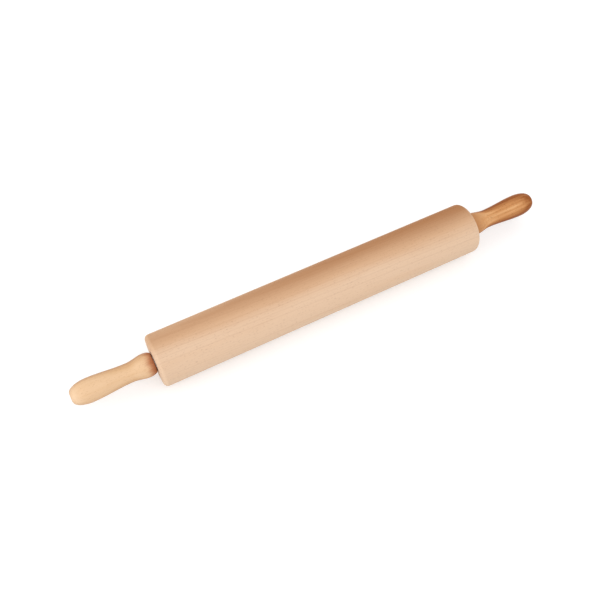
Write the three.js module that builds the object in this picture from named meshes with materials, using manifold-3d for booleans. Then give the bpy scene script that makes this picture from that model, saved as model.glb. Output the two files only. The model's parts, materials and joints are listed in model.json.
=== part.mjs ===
// A rolling pin: a beech barrel that turns in two ball bearings, on a steel axle with a turned handle at each end.
// Millimetres, +Z up. X runs along the axle, and the origin lies on the table under the middle of the barrel.
import * as THREE from "three";
import { mergeVertices } from "three/addons/utils/BufferGeometryUtils.js";
import Module from "manifold-3d";

const wasm = await Module();
wasm.setup();

// Barrel: a plain cylinder with rounded rims
const BARREL_LENGTH = 400;
const BARREL_RADIUS = 30;
const BARREL_RIM_ROUND = 5;

// Handle, from its inner face outwards: a rounded shoulder, a neck, a long swelling grip and a rounded tip
const HANDLE_FACE_WIDTH = 3.4;
const SHOULDER_LENGTH = 8.6;
const SHOULDER_RADIUS = 13.5;
const NECK_LENGTH = 19.1;
const NECK_RADIUS = 10.9;
const GRIP_LENGTH = 44.3;
const GRIP_RADIUS = 13.4;
const TIP_LENGTH = 20.1;
const TIP_FLAT_RADIUS = 5;

// Axle: a rod with a thinner journal at each end, whose threaded tail ends inside the handle
const ROD_RADIUS = 5;
const JOURNAL_RADIUS = 4;
const AXLE_CHAMFER = 0.8;
const AXLE_TAIL = 8;

// Threaded insert in the handle, and the spacer washer between it and the bearing
const INSERT_LENGTH = 20;
const INSERT_WALL = 2;
const INSERT_CHAMFER = 0.6;
const SPACER_WALL = 1.6;
const DRILL_POINT_DEG = 118;

// Shielded ball bearing, which comes to the common 8 x 22 x 7 size
const BALL_RADIUS = 1.98;
const BALL_COUNT = 7;
const GROOVE_DEPTH = 0.6;
const RING_WALL = 1.375;
const RING_CHAMFER = 0.3;
const CAGE_BACK = 0.52;
const CAGE_FINGER = 0.9;
const SHIELD_THICKNESS = 0.4;
const SHIELD_RECESS = 0.2;
const SHIELD_RIM = 0.8;
const SHIELD_SEAT = 0.7;

// The barrel's bearing seat: a ledge under the outer ring, and a relief that keeps the inner ring free
const BEARING_RECESS = 0.6;
const LEDGE_WIDTH = 1.5;
const RELIEF_DEPTH = 1;
const SEAT_CHAMFER = 0.4;

// Clearances
const FIT_CLEARANCE = 0.05;
const SEAT_CLEARANCE = 0.05;
const HANDLE_GAP = 0.5;
const ROD_CLEARANCE = 1;
const TAIL_CLEARANCE = 2;
const BALL_CLEARANCE = 0.12;
const POCKET_CLEARANCE = 0.1;
const CAGE_CLEARANCE = 0.3;
const SHIELD_CLEARANCE = 0.3;

// Facets round each turned piece, and steps along its curves
const BARREL_SIDES = 48;
const HANDLE_SIDES = 32;
const BEARING_SIDES = 30;
const ROD_SIDES = 24;
const RIM_STEPS = 5;
const SHOULDER_STEPS = 4;
const NECK_STEPS = 5;
const GRIP_STEPS = 6;
const TIP_STEPS = 6;
const GROOVE_STEPS = 4;
const BALL_SIDES = 8;
const BALL_BANDS = 6;

// Finishes
const WAXED_BEECH = { color: 0xe5c29d, roughness: 0.6, metalness: 0 };
const PALE_LACQUERED_BEECH = { color: 0xedc69c, roughness: 0.35, metalness: 0 };
const WARM_LACQUERED_BEECH = { color: 0xd6a06c, roughness: 0.35, metalness: 0 };
const TURNED_STEEL = { color: 0xbfc1c3, roughness: 0.3, metalness: 1 };
const GROUND_STEEL = { color: 0xb9bbbd, roughness: 0.25, metalness: 1 };
const PRESSED_STEEL = { color: 0xaeb0b2, roughness: 0.35, metalness: 1 };
const POLISHED_STEEL = { color: 0xd0d2d4, roughness: 0.1, metalness: 1 };
const BRASS = { color: 0xc9a45a, roughness: 0.35, metalness: 1 };
const NATURAL_NYLON = { color: 0xe6dfcc, roughness: 0.5, metalness: 0 };

const QUARTER_TURN = Math.PI / 2;
const WELD_DISTANCE = 1e-4;

// Radii that follow from the sizes above
const journalBore = JOURNAL_RADIUS + FIT_CLEARANCE;
const insertRadius = journalBore + INSERT_WALL;
const handleFaceRadius = insertRadius + FIT_CLEARANCE + HANDLE_FACE_WIDTH;
const grooveRadius = BALL_RADIUS + BALL_CLEARANCE;
const pitchRadius = journalBore + RING_WALL + grooveRadius;
const bearingRadius = pitchRadius + grooveRadius + RING_WALL;
const innerLandRadius = pitchRadius - grooveRadius + GROOVE_DEPTH;
const outerLandRadius = pitchRadius + grooveRadius - GROOVE_DEPTH;
const shieldSeatRadius = outerLandRadius + SHIELD_SEAT;

// Lengths that follow from the sizes above
const handleLength = SHOULDER_LENGTH + NECK_LENGTH + GRIP_LENGTH + TIP_LENGTH;
const cageBackFace = BALL_RADIUS + POCKET_CLEARANCE + CAGE_BACK;
const bearingHalf = cageBackFace + CAGE_CLEARANCE + SHIELD_THICKNESS + SHIELD_RECESS;
const axisHeight = BARREL_RADIUS * Math.cos(Math.PI / BARREL_SIDES);

// Places along the axis, measured outwards from the barrel's end face
const bearingOuterFace = -BEARING_RECESS;
const bearingCentre = bearingOuterFace - bearingHalf;
const bearingInnerFace = bearingCentre - bearingHalf;
const ledgeFace = bearingInnerFace - SEAT_CLEARANCE;
const axleEnd = HANDLE_GAP + INSERT_LENGTH + AXLE_TAIL;

// A faceted bore's flats lie nearer the axis than its corners, so the corners move out until the flats clear.
function boreRadius(radius, sides) {
  return radius / Math.cos(Math.PI / sides);
}

// Points of a curve, at even steps from just after its start to its end.
function steps(count, pointAt) {
  return Array.from({ length: count }, (_, i) => pointAt((i + 1) / count));
}

// The same outline seen from the other end, so that it runs back the way it came.
function mirrored(outline) {
  return outline.map(([along, radius]) => [-along, radius]).reverse();
}

// Revolves an outline of [along, radius] points about the X axis, with one flat facet facing straight down.
function revolve(outline, sides) {
  const points = outline.map(([along, radius]) => new THREE.Vector2(radius, along));
  return new THREE.LatheGeometry(points, sides, Math.PI / sides).rotateZ(-QUARTER_TURN);
}

// Revolves an outline that runs round a ring and returns to its first point.
function revolveRing(outline, sides) {
  return revolve([...outline, outline[0]], sides);
}

// A closed geometry as a solid that can be cut.
function solidOf(geometry) {
  const bare = new THREE.BufferGeometry();
  bare.setAttribute("position", geometry.getAttribute("position"));
  bare.setIndex(geometry.getIndex());
  const welded = mergeVertices(bare, WELD_DISTANCE);
  const mesh = new wasm.Mesh({
    numProp: 3,
    vertProperties: welded.getAttribute("position").array,
    triVerts: new Uint32Array(welded.getIndex().array),
  });
  return new wasm.Manifold(mesh);
}

// A cut solid as a geometry again.
function geometryOf(solid) {
  const mesh = solid.getMesh();
  const geometry = new THREE.BufferGeometry();
  geometry.setAttribute("position", new THREE.BufferAttribute(mesh.vertProperties, 3));
  geometry.setIndex(new THREE.BufferAttribute(mesh.triVerts, 1));
  geometry.computeVertexNormals();
  return geometry;
}

function addPiece(group, name, geometry, finish) {
  const piece = new THREE.Mesh(geometry, new THREE.MeshStandardMaterial(finish));
  piece.name = name;
  group.add(piece);
  return piece;
}

// The right half of the barrel's section, from the through bore out to the start of the plain cylinder.
function barrelEndOutline() {
  const end = BARREL_LENGTH / 2;
  const through = boreRadius(ROD_RADIUS + ROD_CLEARANCE, BARREL_SIDES);
  const seat = boreRadius(bearingRadius + FIT_CLEARANCE, BARREL_SIDES);
  const relief = seat - LEDGE_WIDTH;
  const rimCentre = BARREL_RADIUS - BARREL_RIM_ROUND;
  const rim = steps(RIM_STEPS, (t) => [
    end - BARREL_RIM_ROUND * (1 - Math.cos(t * QUARTER_TURN)),
    rimCentre + BARREL_RIM_ROUND * Math.sin(t * QUARTER_TURN),
  ]);
  return [
    [end + ledgeFace - RELIEF_DEPTH, through],
    [end + ledgeFace - RELIEF_DEPTH, relief],
    [end + ledgeFace, relief],
    [end + ledgeFace, seat],
    [end - SEAT_CHAMFER, seat],
    [end, seat + SEAT_CHAMFER],
    [end, rimCentre],
    ...rim,
  ];
}

function barrelGeometry() {
  const right = barrelEndOutline();
  return revolveRing([...mirrored(right), ...right].reverse(), BARREL_SIDES);
}

// The handle's outer outline, from the edge of its inner face to the edge of its flat tip.
function handleOutline() {
  const neckStart = SHOULDER_LENGTH;
  const gripStart = neckStart + NECK_LENGTH;
  const tipStart = gripStart + GRIP_LENGTH;
  const ease = (from, to, t) => from + ((to - from) * (1 - Math.cos(t * Math.PI))) / 2;
  const shoulder = steps(SHOULDER_STEPS, (t) => [
    SHOULDER_LENGTH * (1 - Math.cos(t * QUARTER_TURN)),
    handleFaceRadius + (SHOULDER_RADIUS - handleFaceRadius) * Math.sin(t * QUARTER_TURN),
  ]);
  const neck = steps(NECK_STEPS, (t) => [neckStart + NECK_LENGTH * t, ease(SHOULDER_RADIUS, NECK_RADIUS, t)]);
  const grip = steps(GRIP_STEPS, (t) => [gripStart + GRIP_LENGTH * t, ease(NECK_RADIUS, GRIP_RADIUS, t)]);
  const tip = steps(TIP_STEPS, (t) => [
    tipStart + TIP_LENGTH * Math.sin(t * QUARTER_TURN),
    TIP_FLAT_RADIUS + (GRIP_RADIUS - TIP_FLAT_RADIUS) * Math.cos(t * QUARTER_TURN),
  ]);
  return [[0, handleFaceRadius], ...shoulder, ...neck, ...grip, ...tip];
}

// The handle is bored blind from its inner face: wide for the insert, then a drilled pilot for the axle's tail.
function handleGeometry() {
  const insertBore = boreRadius(insertRadius + FIT_CLEARANCE, HANDLE_SIDES);
  const pilotBore = boreRadius(journalBore, HANDLE_SIDES);
  const insertDepth = INSERT_LENGTH + SEAT_CLEARANCE;
  const pilotDepth = INSERT_LENGTH + AXLE_TAIL + TAIL_CLEARANCE;
  const drillPoint = pilotBore / Math.tan(THREE.MathUtils.degToRad(DRILL_POINT_DEG / 2));
  const outline = [
    [pilotDepth + drillPoint, 0],
    [pilotDepth, pilotBore],
    [insertDepth, pilotBore],
    [insertDepth, insertBore],
    [0, insertBore],
    ...handleOutline(),
    [handleLength, 0],
  ];
  return revolve(outline, HANDLE_SIDES);
}

function insertGeometry() {
  const outline = [
    [0, journalBore + INSERT_CHAMFER],
    [0, insertRadius],
    [INSERT_LENGTH - INSERT_CHAMFER, insertRadius],
    [INSERT_LENGTH, insertRadius - INSERT_CHAMFER],
    [INSERT_LENGTH, journalBore],
    [INSERT_CHAMFER, journalBore],
  ];
  return revolveRing(outline, ROD_SIDES);
}

function spacerGeometry() {
  const start = bearingOuterFace + SEAT_CLEARANCE;
  const end = HANDLE_GAP - SEAT_CLEARANCE;
  const outline = [
    [start, journalBore],
    [start, journalBore + SPACER_WALL],
    [end, journalBore + SPACER_WALL],
    [end, journalBore],
  ];
  return revolveRing(outline, ROD_SIDES);
}

function axleGeometry() {
  const end = BARREL_LENGTH / 2;
  const right = [
    [end + ledgeFace, ROD_RADIUS],
    [end + ledgeFace, JOURNAL_RADIUS],
    [end + axleEnd - AXLE_CHAMFER, JOURNAL_RADIUS],
    [end + axleEnd, JOURNAL_RADIUS - AXLE_CHAMFER],
    [end + axleEnd, 0],
  ];
  return revolve([...mirrored(right), ...right], ROD_SIDES);
}

// The section of a ball groove, as an arc from edge to edge. Side is -1 under the balls and 1 over them.
function grooveArc(side) {
  const reach = Math.acos(1 - GROOVE_DEPTH / grooveRadius);
  return Array.from({ length: GROOVE_STEPS + 1 }, (_, i) => {
    const angle = reach * ((2 * i) / GROOVE_STEPS - 1);
    return [grooveRadius * Math.sin(angle), pitchRadius + side * grooveRadius * Math.cos(angle)];
  });
}

function innerRingGeometry() {
  const bore = boreRadius(journalBore, BEARING_SIDES);
  const outline = [
    [-bearingHalf, bore],
    [-bearingHalf, innerLandRadius],
    ...grooveArc(-1),
    [bearingHalf, innerLandRadius],
    [bearingHalf, bore],
  ];
  return revolveRing(outline, BEARING_SIDES);
}

// The outer ring has a step at each face in which a shield is pressed.
function outerRingGeometry() {
  const stepDepth = SHIELD_RECESS + SHIELD_RIM + SEAT_CLEARANCE;
  const stepRadius = boreRadius(shieldSeatRadius, BEARING_SIDES);
  const land = boreRadius(outerLandRadius, BEARING_SIDES);
  const groove = grooveArc(1).map(([along, radius]) => [along, boreRadius(radius, BEARING_SIDES)]);
  const outline = [
    [-bearingHalf, stepRadius],
    [-bearingHalf, bearingRadius - RING_CHAMFER],
    [RING_CHAMFER - bearingHalf, bearingRadius],
    [bearingHalf - RING_CHAMFER, bearingRadius],
    [bearingHalf, bearingRadius - RING_CHAMFER],
    [bearingHalf, stepRadius],
    [bearingHalf - stepDepth, stepRadius],
    [bearingHalf - stepDepth, land],
    ...groove.reverse(),
    [stepDepth - bearingHalf, land],
    [stepDepth - bearingHalf, stepRadius],
  ];
  return revolveRing(outline, BEARING_SIDES);
}

// A pressed shield: a flat web with its rim folded in towards the balls. It is drawn on the bearing's outer face.
function shieldOutline() {
  const outer = shieldSeatRadius - FIT_CLEARANCE;
  const inner = boreRadius(innerLandRadius + SHIELD_CLEARANCE, BEARING_SIDES);
  const face = bearingHalf - SHIELD_RECESS;
  return [
    [face - SHIELD_RIM, outer - SHIELD_THICKNESS],
    [face - SHIELD_RIM, outer],
    [face, outer],
    [face, inner],
    [face - SHIELD_THICKNESS, inner],
    [face - SHIELD_THICKNESS, outer - SHIELD_THICKNESS],
  ];
}

// The centre of each ball, spaced evenly round the pitch circle from the top.
function ballCentres() {
  return Array.from({ length: BALL_COUNT }, (_, i) => {
    const angle = (2 * Math.PI * i) / BALL_COUNT;
    return new THREE.Vector3(0, pitchRadius * Math.sin(angle), pitchRadius * Math.cos(angle));
  });
}

// A crown cage: a ring behind the balls whose fingers reach round each ball in its own pocket.
function cageGeometry() {
  const inner = boreRadius(innerLandRadius + CAGE_CLEARANCE, BEARING_SIDES);
  const outer = outerLandRadius - CAGE_CLEARANCE;
  const outline = [
    [-cageBackFace, inner],
    [-cageBackFace, outer],
    [CAGE_FINGER, outer],
    [CAGE_FINGER, inner],
  ];
  const pocket = new THREE.SphereGeometry(BALL_RADIUS + POCKET_CLEARANCE, BALL_SIDES, BALL_BANDS);
  let crown = solidOf(revolveRing(outline, BEARING_SIDES));
  for (const centre of ballCentres()) {
    const cut = pocket.clone().translate(centre.x, centre.y, centre.z);
    crown = crown.subtract(solidOf(cut));
  }
  return geometryOf(crown);
}

function addBearing(group, end) {
  const bearing = new THREE.Group();
  bearing.position.x = bearingCentre;
  group.add(bearing);
  const outerShield = revolveRing(shieldOutline(), BEARING_SIDES);
  const innerShield = revolveRing(mirrored(shieldOutline()), BEARING_SIDES);
  addPiece(bearing, `${end}_bearing_inner_ring`, innerRingGeometry(), GROUND_STEEL);
  addPiece(bearing, `${end}_bearing_outer_ring`, outerRingGeometry(), GROUND_STEEL);
  addPiece(bearing, `${end}_bearing_inner_shield`, innerShield, PRESSED_STEEL);
  addPiece(bearing, `${end}_bearing_outer_shield`, outerShield, PRESSED_STEEL);
  addPiece(bearing, `${end}_bearing_cage`, cageGeometry(), NATURAL_NYLON);
  ballCentres().forEach((centre, i) => {
    const sphere = new THREE.SphereGeometry(BALL_RADIUS, BALL_SIDES, BALL_BANDS);
    const ball = addPiece(bearing, `${end}_bearing_ball_${i + 1}`, sphere, POLISHED_STEEL);
    ball.position.copy(centre);
  });
}

// Everything at one end of the pin, with the group's own X pointing outwards from the barrel's end face.
function addEnd(group, end, handleFinish) {
  addBearing(group, end);
  addPiece(group, `${end}_spacer`, spacerGeometry(), TURNED_STEEL);
  const grip = new THREE.Group();
  grip.position.x = HANDLE_GAP;
  group.add(grip);
  addPiece(grip, `${end}_insert`, insertGeometry(), BRASS);
  addPiece(grip, `${end}_handle`, handleGeometry(), handleFinish);
}

const rollingPin = new THREE.Group();
const spindle = new THREE.Group();
spindle.position.z = axisHeight;
rollingPin.add(spindle);
addPiece(spindle, "barrel", barrelGeometry(), WAXED_BEECH);
addPiece(spindle, "axle", axleGeometry(), TURNED_STEEL);

const rightEnd = new THREE.Group();
rightEnd.position.x = BARREL_LENGTH / 2;
spindle.add(rightEnd);
addEnd(rightEnd, "right", WARM_LACQUERED_BEECH);

// The left end is the right end turned half round the vertical.
const leftEnd = new THREE.Group();
leftEnd.position.x = -BARREL_LENGTH / 2;
leftEnd.rotation.z = Math.PI;
spindle.add(leftEnd);
addEnd(leftEnd, "left", PALE_LACQUERED_BEECH);

export default rollingPin;
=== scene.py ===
"""A beech rolling pin: a turned barrel on a steel axle with shielded ball bearings and lacquered handles.

Metres, in the part's own frame: X runs along the axle, Z is up and the barrel rests on the floor at Z = 0.
"""

import json
import math

import bmesh
import bpy
from mathutils import Matrix, Vector

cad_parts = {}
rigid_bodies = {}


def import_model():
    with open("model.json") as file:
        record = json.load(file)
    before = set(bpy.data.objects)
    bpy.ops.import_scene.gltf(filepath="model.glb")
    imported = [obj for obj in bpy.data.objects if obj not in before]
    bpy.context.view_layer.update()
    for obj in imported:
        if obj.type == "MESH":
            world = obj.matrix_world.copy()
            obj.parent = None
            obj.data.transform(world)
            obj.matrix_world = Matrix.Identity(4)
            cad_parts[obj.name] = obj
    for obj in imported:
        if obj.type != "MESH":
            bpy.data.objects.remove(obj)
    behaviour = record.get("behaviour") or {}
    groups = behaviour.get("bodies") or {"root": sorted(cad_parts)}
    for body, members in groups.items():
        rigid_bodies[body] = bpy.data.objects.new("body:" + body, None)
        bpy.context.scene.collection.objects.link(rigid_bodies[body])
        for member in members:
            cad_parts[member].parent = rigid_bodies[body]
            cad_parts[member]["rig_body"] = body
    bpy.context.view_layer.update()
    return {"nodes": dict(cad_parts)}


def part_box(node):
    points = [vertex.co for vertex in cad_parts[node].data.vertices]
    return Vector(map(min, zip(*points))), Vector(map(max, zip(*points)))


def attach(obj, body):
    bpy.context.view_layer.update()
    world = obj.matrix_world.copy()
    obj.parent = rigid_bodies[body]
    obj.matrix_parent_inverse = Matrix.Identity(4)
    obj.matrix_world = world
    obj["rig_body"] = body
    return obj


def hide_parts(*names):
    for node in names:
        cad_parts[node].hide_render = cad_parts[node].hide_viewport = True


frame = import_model()

MM = 0.001
FULL_TURN = 2 * math.pi
QUARTER_TURN = math.pi / 2
WELD = 1e-7

# Places and sizes that the frame gives
barrel_low, barrel_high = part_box("barrel")
axis_height = (barrel_low.z + barrel_high.z) / 2
barrel_radius = (barrel_high.z - barrel_low.z) / 2
barrel_end = barrel_high.x
handle_low, handle_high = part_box("right_handle")
handle_middle = (handle_low.x + handle_high.x) / 2

# Places at an end of the pin, outwards from the barrel's end face
handle_face = handle_low.x - barrel_end
axle_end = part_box("axle")[1].x - barrel_end
insert_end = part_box("right_insert")[1].x - barrel_end
spacer_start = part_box("right_spacer")[0].x - barrel_end
spacer_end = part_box("right_spacer")[1].x - barrel_end
bearing_inner_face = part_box("right_bearing_outer_ring")[0].x - barrel_end
bearing_outer_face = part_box("right_bearing_outer_ring")[1].x - barrel_end
bearing_half = (bearing_outer_face - bearing_inner_face) / 2
bearing_centre = bearing_outer_face - bearing_half

# Clearances: fixed fits, round the rod, past the axle's tail, round the balls and between what turns
FIT_CLEARANCE = 0.05 * MM
ROD_CLEARANCE = 1 * MM
TAIL_CLEARANCE = 2 * MM
BALL_CLEARANCE = 0.12 * MM
POCKET_CLEARANCE = 0.1 * MM
RUNNING_CLEARANCE = 0.3 * MM

# Axle, spacer and insert
ROD_RADIUS = 5 * MM
JOURNAL_RADIUS = 4 * MM
JOURNAL_BORE = JOURNAL_RADIUS + FIT_CLEARANCE
SPACER_WALL = 1.6 * MM
INSERT_WALL = 2 * MM
INSERT_RADIUS = JOURNAL_BORE + INSERT_WALL
THREAD_PITCH = 1.25 * MM
THREAD_DEPTH = 0.6 * MM
WOOD_THREAD_PITCH = 2.5 * MM
WOOD_THREAD_DEPTH = 0.7 * MM
ROWS_PER_PITCH = 8

# Bearing
BALL_RADIUS = 1.98 * MM
BALL_COUNT = 7
GROOVE_RADIUS = BALL_RADIUS + BALL_CLEARANCE
GROOVE_DEPTH = 0.6 * MM
RING_WALL = 1.375 * MM
PITCH_RADIUS = JOURNAL_BORE + RING_WALL + GROOVE_RADIUS
BEARING_RADIUS = PITCH_RADIUS + GROOVE_RADIUS + RING_WALL
SHIELD_THICKNESS = 0.4 * MM
SHIELD_RECESS = 0.2 * MM
SHIELD_RIM = 0.8 * MM
SHIELD_SEAT = 0.7 * MM
CAGE_BACK = 0.52 * MM
CAGE_FINGER = 0.9 * MM

# Rounded edges of the metal and nylon pieces
FINE_ROUND = 0.1 * MM
SMALL_ROUND = 0.15 * MM
SPACER_ROUND = 0.2 * MM
STEEL_ROUND = 0.3 * MM
SHIELD_FOLD = 0.35 * MM

# Barrel: the rounded rim, the bearing's seat and the bore for the axle
RIM_ROUND = 5 * MM
SEAT_CHAMFER = 0.4 * MM
LEDGE_WIDTH = 1.5 * MM
RELIEF_DEPTH = 1 * MM
BARREL_BORE = ROD_RADIUS + ROD_CLEARANCE

# Handle, outwards from its face: a rounded shoulder, a neck, a swelling grip and a rounded tip with a flat
INSERT_HOLE = INSERT_RADIUS + FIT_CLEARANCE
FACE_WIDTH = 3.4 * MM
FACE_RADIUS = INSERT_HOLE + FACE_WIDTH
SHOULDER_LENGTH = 8.6 * MM
SHOULDER_RADIUS = 13.5 * MM
NECK_LENGTH = 19.1 * MM
NECK_RADIUS = 10.9 * MM
GRIP_LENGTH = 44.3 * MM
GRIP_RADIUS = 13.4 * MM
TIP_LENGTH = 20.1 * MM
TIP_FLAT_RADIUS = 5 * MM
DRILL_POINT = math.radians(118)

# Sides round each turned piece, steps along its curves, and the least angle at which an edge stays sharp
BARREL_SIDES = 144
HANDLE_SIDES = 96
METAL_SIDES = 72
BALL_SIDES = 32
RIM_STEPS = 10
EDGE_STEPS = 3
CURVE_STEPS = 14
SHARP_EDGE = math.radians(40)

# Beech. A scale is the number of patches in a metre, along the grain and across it. A shade is how much
# deeper than heartwood a mark is. A slope is how far the wood faces the ends of the pin, from 0 to 1.
WANDER_SCALE = (3, 22, 22)
WANDER_RINGS = 2.2
GOLD_EDGE = (-0.1, 0.35)
GRAIN_RELIEF = 0.03 * MM
END_SLOPE = (0.5, 0.98)
END_GRAIN = 0.1
# The ends lightened towards this colour as a painted highlight, where light catches the rims and tips
HIGHLIGHT_SLOPE = (0.1, 0.5)
HIGHLIGHT_BEECH = (1, 0.82, 0.62, 1)
# Painted shade on a handle's shoulder by the barrel: its full strength, and how raggedly it ends along the
# grain
PAINTED_SHADE_DEPTH = 0.9
PAINTED_SHADE_RAGGED = 12 * MM

# Growth rings: where in a ring its latewood starts and ends, and how strong the faintest ring is
LATEWOOD_START = 0.25
LATEWOOD_END = 0.93
FAINTEST_RING = 0.1
RING_SHADE = 0.4
RING_RELIEF = 0.4

# Ray flecks: the cell round each, its least size and spread of sizes in cells, and its core's share of it
FLECK_LENGTH = 4.5 * MM
FLECK_WIDTH = 0.5 * MM
FLECK_HEIGHT = 0.8 * MM
FLECK_LEAST = 0.12
FLECK_SPREAD = 0.26
FLECK_CORE = 0.55
FLECK_SHADE = 0.9
FLECK_RELIEF = 0.5
FLECK_GLOSS = 0.08

# Fibres: where they show in their noise, and how much of the rings' contrast they have
FIBRE_SCALE = (30, 1500, 1500)
FIBRE_EDGE = (0.45, 0.8)
FIBRE_SHARE = 0.5
FIBRE_RELIEF = 0.6
FIBRE_DULL = 0.12

# Metal: its darker clouds and machined lines
CLOUD_SCALE = (160, 160, 160)
CLOUD_EDGE = (0.35, 0.75)
CLOUD_DEPTH = 0.5
CLOUD_SHADE = 0.8
CLOUD_DULL = 0.1
LINE_DULL = 0.12

# Nylon: its mottle and moulded skin
MOTTLE_SCALE = (400, 400, 400)
MOTTLE_EDGE = (0.3, 0.7)
SKIN_SCALE = (5000, 5000, 5000)
SKIN_DULL = 0.15
SKIN_RELIEF = 0.003 * MM

# The camera's place and aim, from the perspective of the photograph
CAMERA_FROM_BARREL = Vector((-246.70, -428.98, 731.88)) * MM
CAMERA_AZIMUTH = math.radians(-27.38)
CAMERA_ELEVATION = math.radians(56.65)
CAMERA_ANGLE = math.radians(42.15)

# Studio: two round softboxes, each with its azimuth and elevation in degrees and its power in watts
SOFTBOXES = {"front_light": (0, 60, 3.2), "left_light": (-90, 15, 3.8)}
SOFTBOX_DISTANCE = 1.4
SOFTBOX_SIZE = 0.8
AMBIENT = 0.86
FLOOR_SIZE = 8
FLOOR_SHADE = 0.75
FLOOR_LIFT = 0.4


def seen(red, green, blue):
    """The linear colour of what the eye sees as these channels, each from 0 to 255."""
    channels = [channel / 255 for channel in (red, green, blue)]
    return (*[((channel + 0.055) / 1.055) ** 2.4 for channel in channels], 1)


class Signal:
    """One socket in a finish. Arithmetic on it adds Math nodes."""

    def __init__(self, finish, socket):
        self.finish = finish
        self.socket = socket

    def output(self, name):
        """Another output of the same node."""
        return Signal(self.finish, self.socket.node.outputs[name])

    def maths(self, operation, first, second=0.0):
        return self.finish.node("ShaderNodeMath", {"operation": operation}, {0: first, 1: second})

    def __add__(self, other):
        return self.maths("ADD", self, other)

    def __radd__(self, other):
        return self.maths("ADD", other, self)

    def __sub__(self, other):
        return self.maths("SUBTRACT", self, other)

    def __rsub__(self, other):
        return self.maths("SUBTRACT", other, self)

    def __mul__(self, other):
        return self.maths("MULTIPLY", self, other)

    def __rmul__(self, other):
        return self.maths("MULTIPLY", other, self)

    def __truediv__(self, other):
        return self.maths("DIVIDE", self, other)

    def __pow__(self, other):
        return self.maths("POWER", self, other)

    def __abs__(self):
        return self.maths("ABSOLUTE", self)

    def fraction(self):
        return self.maths("FRACT", self)

    def angle_to(self, other):
        """The angle of the point whose height is this signal and whose reach is the other."""
        return self.maths("ARCTAN2", self, other)

    def rise(self, start, end):
        """0 below start and 1 above end, with a smooth step between them."""
        limits = {"Value": self, "From Min": start, "From Max": end}
        return self.finish.node("ShaderNodeMapRange", {"interpolation_type": "SMOOTHSTEP"}, limits)


class Finish:
    """The nodes of a material or of the world, added one by one."""

    def __init__(self, owner):
        owner.use_nodes = True
        self.owner = owner
        self.tree = owner.node_tree
        self.tree.nodes.clear()

    def node(self, kind, settings=None, sockets=None, output=0):
        """Adds a node, with its settings first and then the values or links of its sockets."""
        made = self.tree.nodes.new(kind)
        for name, value in (settings or {}).items():
            setattr(made, name, value)
        for name, value in (sockets or {}).items():
            if isinstance(value, Signal):
                self.tree.links.new(value.socket, made.inputs[name])
            else:
                made.inputs[name].default_value = value
        return Signal(self, made.outputs[output]) if made.outputs else None

    def place(self):
        return self.node("ShaderNodeTexCoord", output="Object")

    def split(self, vector):
        """A vector's X. Its Y and Z are other outputs of the same node."""
        return self.node("ShaderNodeSeparateXYZ", None, {0: vector})

    def stretched(self, place, scale):
        """A place whose three directions are scaled apart, so that a pattern on it is drawn out."""
        return self.node("ShaderNodeVectorMath", {"operation": "MULTIPLY"}, {0: place, 1: scale})

    def noise(self, place, scale, detail=2.0):
        sockets = {"Vector": self.stretched(place, scale), "Scale": 1.0, "Detail": detail}
        return self.node("ShaderNodeTexNoise", None, sockets)

    def mixed(self, share, first, second):
        """The first colour where share is 0 and the second where it is 1."""
        return self.node("ShaderNodeMix", {"data_type": "RGBA"}, {0: share, 6: first, 7: second}, 2)

    def bump(self, height, depth):
        return self.node("ShaderNodeBump", None, {"Height": height, "Strength": 1.0, "Distance": depth})

    def surface(self, **sockets):
        """Ends the finish in one surface shader, and gives the material."""
        named = {name.replace("_", " "): value for name, value in sockets.items()}
        shader = self.node("ShaderNodeBsdfPrincipled", None, named)
        self.node("ShaderNodeOutputMaterial", None, {"Surface": shader})
        return self.owner


def new_finish(name):
    return Finish(bpy.data.materials.new(name))


class Log:
    """Where each point of a piece lies in the log that it was cut from, whose pith runs beside the piece.

    The pith passes the piece's middle at a place from the axle, and leans there by degrees about Y and Z.
    """

    def __init__(self, wood, pith, lean, middle, ring_width):
        about_y, about_z = [math.radians(angle) for angle in lean]
        pith_y = pith[0] + middle * math.sin(about_z)
        pith_z = axis_height + pith[1] - middle * math.sin(about_y)
        self.place = wood.node("ShaderNodeMapping", None, {
            "Vector": wood.place(),
            "Location": (0, -pith_y, -pith_z),
            "Rotation": (0, about_y, about_z),
        })
        self.along = wood.split(self.place)
        across = self.along.output("Y")
        up = self.along.output("Z")
        wander = wood.noise(self.place, WANDER_SCALE) - 0.5
        self.reach = (across * across + up * up) ** 0.5 + wander * (WANDER_RINGS * ring_width)
        self.around = up.angle_to(across) * math.hypot(*pith)


def latewood(wood, log, ring_width):
    """Growth rings: each rises slowly to its latewood and ends at a fine line, some more than others."""
    count = log.reach / ring_width
    ring = count.fraction()
    year = wood.node("ShaderNodeTexWhiteNoise", {"noise_dimensions": "1D"}, {"W": count - ring})
    strength = FAINTEST_RING + (1 - FAINTEST_RING) * year * year
    return ring.rise(LATEWOOD_START, LATEWOOD_END) * (1 - ring.rise(LATEWOOD_END, 1.0)) * strength


def ray_flecks(wood, log):
    """Short spindles of all sizes along the grain, which are ribbons towards the pith."""
    cells = wood.node("ShaderNodeCombineXYZ", None, {
        "X": log.along / FLECK_LENGTH,
        "Y": log.around / FLECK_WIDTH,
        "Z": log.reach / FLECK_HEIGHT,
    })
    spindle = wood.node("ShaderNodeTexVoronoi", None, {"Vector": cells, "Scale": 1.0})
    chance = wood.node("ShaderNodeSeparateColor", None, {0: spindle.output("Color")})
    return 1 - (spindle / (FLECK_LEAST + FLECK_SPREAD * chance)).rise(FLECK_CORE, 1.0)


def painted_shoulder_shade(wood, streaks, start, end):
    """Painted shade on a handle's shoulder, darkest by the barrel that shades it, ending raggedly along
    the grain.
    """
    from_face = abs(wood.split(wood.place())) - handle_low.x
    ragged = from_face + streaks * PAINTED_SHADE_RAGGED
    return (1 - ragged.rise(start, end)) * PAINTED_SHADE_DEPTH


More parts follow.
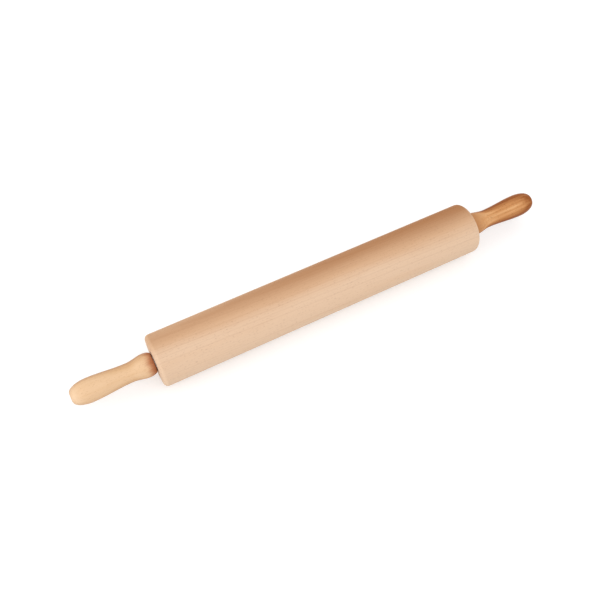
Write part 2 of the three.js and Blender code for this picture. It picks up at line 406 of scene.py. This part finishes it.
def deeper(colour, depth):
    """The colour of wood that has taken up more of its finish: darker and warmer."""
    return (*[channel ** (1 + depth) for channel in colour[:3]], 1)


def beech(name, sap, gold, heart, heart_edge, pith, lean, streak_scale, streak_depth, ring_width, contrast,
          fleck_depth, roughness, middle=0, painted_highlight=0, painted_shade=None, painted_shade_edge=None, **gloss):
    """Beech with heartwood near the pith, sapwood further out, gold between them and streaks of all.

    Over these lie growth rings, ray flecks, fibres, darker end grain, a painted highlight on the ends and
    painted shade on a handle's shoulder.
    """
    wood = new_finish(name)
    log = Log(wood, pith, lean, middle, ring_width)
    endwards = abs(wood.split(wood.node("ShaderNodeTexCoord", output="Normal")))
    end_cut = endwards.rise(*END_SLOPE)
    streaks = (wood.noise(log.place, streak_scale, detail=3.0) - 0.5) * (1 - end_cut)
    late = latewood(wood, log, ring_width)
    flecks = ray_flecks(wood, log) * (1 - end_cut)
    fibres = wood.noise(log.place, FIBRE_SCALE)

    depth = 1 - log.reach.rise(*heart_edge) + streak_depth * streaks
    shade = deeper(heart, RING_SHADE)
    colour = wood.mixed(depth, wood.mixed(depth.rise(*GOLD_EDGE), sap, gold), heart)
    colour = wood.mixed(late * contrast, colour, shade)
    colour = wood.mixed(flecks * fleck_depth, colour, deeper(heart, FLECK_SHADE))
    colour = wood.mixed(fibres.rise(*FIBRE_EDGE) * (FIBRE_SHARE * contrast), colour, shade)
    colour = wood.mixed(end_cut * END_GRAIN, colour, shade)
    # Painted highlight: the rims and ends lightened as if catching the light
    if painted_highlight:
        colour = wood.mixed(endwards.rise(*HIGHLIGHT_SLOPE) * painted_highlight, colour, HIGHLIGHT_BEECH)
    # Painted shade of the barrel on a handle's shoulder
    if painted_shade:
        colour = wood.mixed(painted_shoulder_shade(wood, streaks, *painted_shade_edge), colour, painted_shade)

    relief = fibres * FIBRE_RELIEF - flecks * FLECK_RELIEF - late * RING_RELIEF
    return wood.surface(
        Base_Color=colour,
        Roughness=roughness + FIBRE_DULL * (fibres - 0.5) - FLECK_GLOSS * flecks,
        Normal=wood.bump(relief, GRAIN_RELIEF),
        **gloss,
    )


def waxed_beech():
    """The barrel's wood: pale, and darker towards the heart along its upper far side, partly real
    heartwood and partly painted shade of the side turned from the lamps.
    """
    return beech(
        "waxed_beech",
        sap=seen(233, 203, 174),
        gold=seen(235, 198, 161),
        heart=seen(177, 119, 72),
        # The heartwood lies along the upper far side: real heartwood colour, and painted shade of the side
        # turned from the lamps
        heart_edge=(4.8 * MM, 49 * MM),
        pith=(24 * MM, 41 * MM),
        lean=(-2.9, 0.3),
        streak_scale=(8, 90, 90),
        streak_depth=0.24,
        ring_width=2.6 * MM,
        contrast=0.12,
        fleck_depth=0.22,
        roughness=0.62,
        # Painted highlight on the rims
        painted_highlight=0.08,
        Specular_IOR_Level=0.15,
        Diffuse_Roughness=0.4,
    )


def pale_lacquered_beech():
    """The left handle's wood: pale, with painted shade on its shoulder by the barrel."""
    return beech(
        "pale_lacquered_beech",
        sap=seen(235, 197, 157),
        gold=seen(235, 195, 149),
        heart=seen(192, 140, 97),
        heart_edge=(50 * MM, 60 * MM),
        middle=-handle_middle,
        pith=(29.7 * MM, -39.2 * MM),
        lean=(0.5, 0.4),
        streak_scale=(8, 180, 180),
        streak_depth=0.6,
        ring_width=2.2 * MM,
        contrast=0.15,
        fleck_depth=0.25,
        roughness=0.4,
        # Painted highlight on the tip and ends
        painted_highlight=0.2,
        # Painted shade of the barrel on the shoulder, fading out over this reach from the face
        painted_shade=seen(182, 114, 74),
        painted_shade_edge=(1.5 * MM, 11.5 * MM),
        Specular_IOR_Level=0.15,
    )


def warm_lacquered_beech():
    """The right handle's wood: warm and streaky, pale down its middle with brown flanks and tip, partly
    real heartwood and partly a painted highlight and painted shade.
    """
    return beech(
        "warm_lacquered_beech",
        sap=seen(230, 176, 123),
        gold=seen(227, 164, 107),
        heart=seen(160, 93, 45),
        # The pith is set below and behind, so the sapwood runs pale down the upper front and the flanks
        # and tip go brown: a painted highlight down the middle and painted shade at the edges and tip,
        # over real heartwood colour
        heart_edge=(39.2 * MM, 45.2 * MM),
        middle=handle_middle,
        pith=(18.4 * MM, -26.6 * MM),
        lean=(5.5, 2.6),
        streak_scale=(11, 300, 300),
        streak_depth=1.2,
        ring_width=1.5 * MM,
        contrast=0.15,
        fleck_depth=0.5,
        roughness=0.38,
        # Painted shade of the barrel on the shoulder and neck
        painted_shade=seen(194, 138, 92),
        painted_shade_edge=(4 * MM, 26 * MM),
        Specular_IOR_Level=0.05,
    )


def machined(name, colour, roughness, rings, relief):
    """Metal with fine rings round the axle, as from a lathe or a grinding wheel, so many in a metre."""
    metal = new_finish(name)
    place = metal.place()
    lines = metal.noise(place, (rings, 0, 0), detail=3.0)
    clouds = metal.noise(place, CLOUD_SCALE, detail=3.0)
    darker = (*[CLOUD_SHADE * channel for channel in colour[:3]], 1)
    return metal.surface(
        Base_Color=metal.mixed(clouds.rise(*CLOUD_EDGE) * CLOUD_DEPTH, colour, darker),
        Metallic=1.0,
        Roughness=roughness + LINE_DULL * (lines - 0.5) + CLOUD_DULL * (clouds - 0.5),
        Normal=metal.bump(lines, relief),
    )


def turned_steel():
    return machined("turned_steel", seen(196, 197, 199), roughness=0.3, rings=5000, relief=0.01 * MM)


def bearing_steel():
    return machined("bearing_steel", seen(200, 201, 204), roughness=0.2, rings=9000, relief=0.004 * MM)


def shield_steel():
    return machined("shield_steel", seen(186, 188, 191), roughness=0.36, rings=1500, relief=0.002 * MM)


def ball_steel():
    return machined("ball_steel", seen(216, 217, 220), roughness=0.1, rings=600, relief=0.0005 * MM)


def brass():
    return machined("brass", seen(203, 165, 92), roughness=0.32, rings=5000, relief=0.008 * MM)


def nylon():
    """Natural nylon: off-white, a little mottled, with a moulded satin skin."""
    plastic = new_finish("nylon")
    place = plastic.place()
    mottle = plastic.noise(place, MOTTLE_SCALE, detail=3.0)
    skin = plastic.noise(place, SKIN_SCALE)
    return plastic.surface(
        Base_Color=plastic.mixed(mottle.rise(*MOTTLE_EDGE), seen(236, 230, 214), seen(226, 216, 194)),
        Roughness=0.45 + SKIN_DULL * (skin - 0.5),
        Normal=plastic.bump(skin, SKIN_RELIEF),
        Subsurface_Weight=0.1,
        Subsurface_Scale=1 * MM,
    )


def turned(corners, sides, ring=False, steps=EDGE_STEPS):
    """A shape turned about the X axis from an outline of (along, radius, round) corners.

    A ring's outline closes on itself. Any other starts and ends on the axis.
    """
    shape = bmesh.new()
    verts = [shape.verts.new((along, 0, radius)) for along, radius, _ in corners]
    path = verts + verts[:1] if ring else verts
    for first, second in zip(path, path[1:]):
        shape.edges.new((first, second))
    for vert, (_, _, size) in zip(verts, corners):
        if size:
            bmesh.ops.bevel(shape, geom=[vert], offset=size, segments=steps, profile=0.5,
                            affect="VERTICES", material=-1)
    bmesh.ops.spin(shape, geom=shape.verts[:] + shape.edges[:], cent=(0, 0, 0), axis=(1, 0, 0),
                   dvec=(0, 0, 0), angle=FULL_TURN, steps=sides, use_merge=True, use_duplicate=False)
    bmesh.ops.remove_doubles(shape, verts=shape.verts, dist=WELD)
    bmesh.ops.recalc_face_normals(shape, faces=shape.faces)
    return shape


def sharp(points):
    """Outline points as corners with no round."""
    return [(along, radius, 0) for along, radius in points]


def mirrored(corners):
    """The same outline at the other end of the pin, running back the way it came."""
    return [(-along, radius, size) for along, radius, size in reversed(corners)]


def even_shares(count):
    """Even steps from just after 0 to 1."""
    return [(step + 1) / count for step in range(count)]


def set_at_axle(shape):
    """Lifts a shape drawn about the X axis to the height of the axle."""
    bmesh.ops.translate(shape, vec=(0, 0, axis_height), verts=shape.verts)
    return shape


def set_at_end(shape, end):
    """Moves a shape drawn outwards from the barrel's end face to the left or the right end of the pin."""
    bmesh.ops.translate(shape, vec=(barrel_end, 0, axis_height), verts=shape.verts)
    if end == "left":
        half_turn = Matrix.Rotation(math.pi, 3, "Z")
        bmesh.ops.rotate(shape, cent=(0, 0, 0), matrix=half_turn, verts=shape.verts)
    return shape


def as_mesh(shape, name):
    mesh = bpy.data.meshes.new(name)
    shape.to_mesh(mesh)
    shape.free()
    return mesh


def add_object(name, contents):
    """Puts a mesh, a lamp or a camera in the scene."""
    thing = bpy.data.objects.new(name, contents)
    bpy.context.collection.objects.link(thing)
    return thing


def add_piece(shape, name, node, finish):
    """Makes a shape a piece that stands for its node: it rides the node's body, takes this finish, and the
    node is hidden.
    """
    mesh = as_mesh(shape, name)
    mesh.shade_smooth()
    mesh.set_sharp_from_angle(angle=SHARP_EDGE)
    mesh.materials.append(finish)
    piece = add_object(name, mesh)
    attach(piece, frame["nodes"][node]["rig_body"])
    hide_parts(node)


def barrel_shape():
    """The barrel is bored through for the axle, with a ledged seat for a bearing in each end."""
    seat = BEARING_RADIUS + FIT_CLEARANCE
    ledge = barrel_end + bearing_inner_face - FIT_CLEARANCE
    right = [
        (ledge - RELIEF_DEPTH, BARREL_BORE, 0),
        (ledge - RELIEF_DEPTH, seat - LEDGE_WIDTH, 0),
        (ledge, seat - LEDGE_WIDTH, 0),
        (ledge, seat, 0),
        (barrel_end, seat, SEAT_CHAMFER),
        (barrel_end, barrel_radius, RIM_ROUND),
    ]
    return set_at_axle(turned(mirrored(right) + right, BARREL_SIDES, ring=True, steps=RIM_STEPS))


def steady(share):
    return share


def slow_start(share):
    return 1 - math.cos(share * QUARTER_TURN)


def slow_end(share):
    return math.sin(share * QUARTER_TURN)


def slow_both(share):
    return (1 - math.cos(share * math.pi)) / 2


def curve(start, end, along_pace, radius_pace):
    """Outline points after the start and up to the end, with paces along the axle and away from it."""
    points = []
    for share in even_shares(CURVE_STEPS):
        along = start[0] + (end[0] - start[0]) * along_pace(share)
        radius = start[1] + (end[1] - start[1]) * radius_pace(share)
        points.append((along, radius))
    return points


def handle_outline():
    """The handle's outer outline from the edge of its face to the edge of the flat on its tip."""
    face = (handle_face, FACE_RADIUS)
    shoulder = (face[0] + SHOULDER_LENGTH, SHOULDER_RADIUS)
    neck = (shoulder[0] + NECK_LENGTH, NECK_RADIUS)
    grip = (neck[0] + GRIP_LENGTH, GRIP_RADIUS)
    tip = (grip[0] + TIP_LENGTH, TIP_FLAT_RADIUS)
    return [
        face,
        *curve(face, shoulder, slow_start, slow_end),
        *curve(shoulder, neck, steady, slow_both),
        *curve(neck, grip, steady, slow_both),
        *curve(grip, tip, slow_end, slow_start),
    ]


def handle_shape():
    """The handle is bored from its face for the insert and, past it, for the tail of the axle."""
    pilot_end = axle_end + TAIL_CLEARANCE
    drill_end = pilot_end + JOURNAL_BORE / math.tan(DRILL_POINT / 2)
    bore = [
        (drill_end, 0),
        (pilot_end, JOURNAL_BORE),
        (insert_end + FIT_CLEARANCE, JOURNAL_BORE),
        (insert_end + FIT_CLEARANCE, INSERT_HOLE),
        (handle_face, INSERT_HOLE),
    ]
    outline = handle_outline()
    tip = outline[-1][0]
    return turned(sharp(bore + outline + [(tip, 0)]), HANDLE_SIDES)


def thread_rows(start, end, radius, pitch):
    """Outline points along a stretch, close enough together to carry a thread."""
    count = round((end - start) / pitch * ROWS_PER_PITCH)
    return [(start + (end - start) * share, radius) for share in even_shares(count)]


def cut_thread(shape, start, end, radius, depth, pitch, side=1, datum=0):
    """Cuts a rounded thread that runs out at both ends into the turned rows of one radius.

    Its turns are counted from the barrel's end face, which is at the datum, so that mating threads match.
    """
    for vert in shape.verts:
        along = side * vert.co.x - datum
        reach = math.hypot(vert.co.y, vert.co.z)
        if start < along < end and abs(reach - radius) < FIT_CLEARANCE / 2:
            turn = math.atan2(side * vert.co.y, vert.co.z) / FULL_TURN
            valley = (1 - math.cos(FULL_TURN * (along / pitch - turn))) / 2
            run_out = min(1, (along - start) / pitch, (end - along) / pitch)
            share = (reach - depth * run_out * valley) / reach
            vert.co.y *= share
            vert.co.z *= share


def axle_shape():
    """A rod with a thinner journal at each end, threaded from the spacer to the end of its tail."""
    journal_start = barrel_end + bearing_inner_face - FIT_CLEARANCE
    thread_start = barrel_end + spacer_end
    tail_end = barrel_end + axle_end
    right = [
        (journal_start, ROD_RADIUS, STEEL_ROUND),
        (journal_start, JOURNAL_RADIUS, 0),
        (thread_start, JOURNAL_RADIUS, 0),
        *sharp(thread_rows(thread_start, tail_end - THREAD_PITCH, JOURNAL_RADIUS, THREAD_PITCH)),
        (tail_end, JOURNAL_RADIUS - THREAD_DEPTH, STEEL_ROUND),
        (tail_end, 0, 0),
    ]
    shape = turned(mirrored(right) + right, METAL_SIDES)
    for side in (-1, 1):
        cut_thread(shape, spacer_end, axle_end, JOURNAL_RADIUS, THREAD_DEPTH, THREAD_PITCH,
                   side=side, datum=barrel_end)
    return set_at_axle(shape)


def insert_shape():
    """A bush with a fine thread inside for the axle and a coarse one outside that bites into the wood."""
    inner = thread_rows(handle_face, insert_end, JOURNAL_BORE, THREAD_PITCH)
    outer = thread_rows(handle_face, insert_end, INSERT_RADIUS, WOOD_THREAD_PITCH)
    outline = [(handle_face, JOURNAL_BORE), *inner, *reversed(outer), (handle_face, INSERT_RADIUS)]
    shape = turned(sharp(outline), METAL_SIDES, ring=True)
    cut_thread(shape, handle_face, insert_end, JOURNAL_BORE, THREAD_DEPTH, THREAD_PITCH)
    cut_thread(shape, handle_face, insert_end, INSERT_RADIUS, WOOD_THREAD_DEPTH, WOOD_THREAD_PITCH)
    return shape


def spacer_shape():
    outside = JOURNAL_BORE + SPACER_WALL
    outline = [
        (spacer_start, JOURNAL_BORE, SMALL_ROUND),
        (spacer_start, outside, SPACER_ROUND),
        (spacer_end, outside, SPACER_ROUND),
        (spacer_end, JOURNAL_BORE, SMALL_ROUND),
    ]
    return turned(outline, METAL_SIDES, ring=True)


def groove(side):
    """The section of a ball groove from edge to edge, under the balls (side -1) or over them (side 1)."""
    reach = math.acos(1 - GROOVE_DEPTH / GROOVE_RADIUS)
    points = []
    for step in range(CURVE_STEPS + 1):
        turn = reach * (2 * step / CURVE_STEPS - 1)
        along = bearing_centre + GROOVE_RADIUS * math.sin(turn)
        points.append((along, PITCH_RADIUS + side * GROOVE_RADIUS * math.cos(turn)))
    return points


def land(side):
    """The radius of a ring beside its groove."""
    return PITCH_RADIUS + side * (GROOVE_RADIUS - GROOVE_DEPTH)


def inner_ring_shape():
    outline = [
        (bearing_inner_face, JOURNAL_BORE, STEEL_ROUND),
        (bearing_inner_face, land(-1), SMALL_ROUND),
        *sharp(groove(-1)),
        (bearing_outer_face, land(-1), SMALL_ROUND),
        (bearing_outer_face, JOURNAL_BORE, STEEL_ROUND),
    ]
    return turned(outline, METAL_SIDES, ring=True)


def outer_ring_shape():
    """The outer ring has a step at each face in which a shield is pressed."""
    depth = SHIELD_RECESS + SHIELD_RIM + FIT_CLEARANCE
    step = land(1) + SHIELD_SEAT
    outline = [
        (bearing_inner_face, step, FINE_ROUND),
        (bearing_inner_face, BEARING_RADIUS, STEEL_ROUND),
        (bearing_outer_face, BEARING_RADIUS, STEEL_ROUND),
        (bearing_outer_face, step, FINE_ROUND),
        (bearing_outer_face - depth, step, 0),
        (bearing_outer_face - depth, land(1), 0),
        *sharp(reversed(groove(1))),
        (bearing_inner_face + depth, land(1), 0),
        (bearing_inner_face + depth, step, 0),
    ]
    return turned(outline, METAL_SIDES, ring=True)


def shield_shape(side):
    """A pressed shield with a folded rim on the bearing's outer face (side 1) or inner face (side -1)."""
    outer = land(1) + SHIELD_SEAT - FIT_CLEARANCE
    inner = land(-1) + RUNNING_CLEARANCE
    face = bearing_half - SHIELD_RECESS
    outline = [
        (face - SHIELD_RIM, outer - SHIELD_THICKNESS, 0),
        (face - SHIELD_RIM, outer, 0),
        (face, outer, SHIELD_FOLD),
        (face, inner, FINE_ROUND),
        (face - SHIELD_THICKNESS, inner, FINE_ROUND),
        (face - SHIELD_THICKNESS, outer - SHIELD_THICKNESS, FINE_ROUND),
    ]
    placed = [(bearing_centre + side * along, radius, size) for along, radius, size in outline]
    return turned(placed, METAL_SIDES, ring=True)


def ball_centres():
    """The balls' centres, evenly round the pitch circle from the top."""
    centres = []
    for ball in range(BALL_COUNT):
        turn = FULL_TURN * ball / BALL_COUNT
        across = PITCH_RADIUS * math.sin(turn)
        up = PITCH_RADIUS * math.cos(turn)
        centres.append(Vector((bearing_centre, across, up)))
    return centres


def ball_shape(centre, radius):
    shape = bmesh.new()
    bmesh.ops.create_uvsphere(shape, u_segments=BALL_SIDES, v_segments=BALL_SIDES // 2, radius=radius,
                              matrix=Matrix.Translation(centre))
    return shape


def carved(shape, cutters):
    """A shape with others cut out of it."""
    blank = add_object("blank", as_mesh(shape, "blank"))
    tools = [add_object("tool", as_mesh(cutter, "tool")) for cutter in cutters]
    for tool in tools:
        cut = blank.modifiers.new("cut", "BOOLEAN")
        cut.operation = "DIFFERENCE"
        cut.solver = "EXACT"
        cut.object = tool
    result = bmesh.new()
    result.from_object(blank, bpy.context.evaluated_depsgraph_get())
    for thing in [blank, *tools]:
        bpy.data.objects.remove(thing)
    return result


def cage_shape():
    """A crown cage: a ring behind the balls whose fingers reach round each ball in its own pocket."""
    pocket = BALL_RADIUS + POCKET_CLEARANCE
    inner = land(-1) + RUNNING_CLEARANCE
    outer = land(1) - RUNNING_CLEARANCE
    back = bearing_centre - pocket - CAGE_BACK
    front = bearing_centre + CAGE_FINGER
    outline = [
        (back, inner, FINE_ROUND),
        (back, outer, FINE_ROUND),
        (front, outer, FINE_ROUND),
        (front, inner, FINE_ROUND),
    ]
    crown = turned(outline, METAL_SIDES, ring=True)
    return carved(crown, [ball_shape(centre, pocket) for centre in ball_centres()])


def add_end(end, handle_finish, finishes):
    """Every piece at one end of the pin."""
    shapes = {
        "handle": (handle_shape(), handle_finish),
        "insert": (insert_shape(), finishes["brass"]),
        "spacer": (spacer_shape(), finishes["turned"]),
        "bearing_inner_ring": (inner_ring_shape(), finishes["bearing"]),
        "bearing_outer_ring": (outer_ring_shape(), finishes["bearing"]),
        "bearing_inner_shield": (shield_shape(-1), finishes["shield"]),
        "bearing_outer_shield": (shield_shape(1), finishes["shield"]),
        "bearing_cage": (cage_shape(), finishes["nylon"]),
    }
    for number, centre in enumerate(ball_centres(), start=1):
        shapes[f"bearing_ball_{number}"] = (ball_shape(centre, BALL_RADIUS), finishes["ball"])
    for part, (shape, finish) in shapes.items():
        node = f"{end}_{part}"
        add_piece(set_at_end(shape, end), f"{node}_finished", node, finish)


def add_pin():
    finishes = {
        "brass": brass(),
        "turned": turned_steel(),
        "bearing": bearing_steel(),
        "shield": shield_steel(),
        "ball": ball_steel(),
        "nylon": nylon(),
    }
    add_piece(barrel_shape(), "barrel_finished", "barrel", waxed_beech())
    add_piece(axle_shape(), "axle_finished", "axle", finishes["turned"])
    add_end("left", pale_lacquered_beech(), finishes)
    add_end("right", warm_lacquered_beech(), finishes)


def seen_directly(finish):
    """1 for rays from the camera or from a reflection or a glass, which see the plain white studio."""
    ray = finish.node("ShaderNodeLightPath", output="Is Camera Ray")
    mirror = ray.output("Is Glossy Ray")
    glass = ray.output("Is Transmission Ray")
    return 1 - (1 - ray) * (1 - mirror) * (1 - glass)


def floor_white():
    """A pale floor that takes shadows, lifted to white where it is seen."""
    paint = new_finish("floor_white")
    matt = paint.node("ShaderNodeBsdfDiffuse", None, {"Color": (FLOOR_SHADE, FLOOR_SHADE, FLOOR_SHADE, 1)})
    lift = paint.node("ShaderNodeEmission", None, {"Strength": seen_directly(paint) * FLOOR_LIFT})
    both = paint.node("ShaderNodeAddShader", None, {0: matt, 1: lift})
    paint.node("ShaderNodeOutputMaterial", None, {"Surface": both})
    return paint.owner


def add_floor():
    shape = bmesh.new()
    bmesh.ops.create_grid(shape, x_segments=1, y_segments=1, size=FLOOR_SIZE / 2)
    mesh = as_mesh(shape, "floor")
    mesh.materials.append(floor_white())
    floor = add_object("floor", mesh)


def add_surroundings():
    """White where it is seen, and a plain soft light from all round."""
    studio = Finish(bpy.data.worlds.new("studio"))
    strength = AMBIENT + (1 - AMBIENT) * seen_directly(studio)
    light = studio.node("ShaderNodeBackground", None, {"Color": (1, 1, 1, 1), "Strength": strength})
    studio.node("ShaderNodeOutputWorld", None, {"Surface": light})
    bpy.context.scene.world = studio.owner


def outwards(azimuth, elevation):
    """The direction from the pin towards a place at this azimuth, from the front, and this elevation."""
    level = math.cos(elevation)
    return Vector((math.sin(azimuth) * level, -math.cos(azimuth) * level, math.sin(elevation)))


def looking_back(direction):
    """The turn of a lamp or a camera that stands in this direction and points back along it."""
    return (-direction).to_track_quat("-Z", "Y").to_euler()


def add_softbox(name, azimuth, elevation, power):
    """A large soft light that points at the pin."""
    lamp = bpy.data.lights.new(name, "AREA")
    lamp.shape = "DISK"
    lamp.size = SOFTBOX_SIZE
    lamp.energy = power
    direction = outwards(math.radians(azimuth), math.radians(elevation))
    softbox = add_object(name, lamp)
    softbox.location = direction * SOFTBOX_DISTANCE
    softbox.rotation_euler = looking_back(direction)


def add_camera():
    lens = bpy.data.cameras.new("camera")
    lens.angle = CAMERA_ANGLE
    camera = add_object("camera", lens)
    camera.location = Vector((0, 0, axis_height)) + CAMERA_FROM_BARREL
    camera.rotation_euler = looking_back(outwards(CAMERA_AZIMUTH, CAMERA_ELEVATION))
    bpy.context.scene.camera = camera


bpy.context.scene.view_settings.view_transform = "Standard"
add_camera()
add_floor()
add_surroundings()
for box_name, box in SOFTBOXES.items():
    add_softbox(box_name, *box)
add_pin()
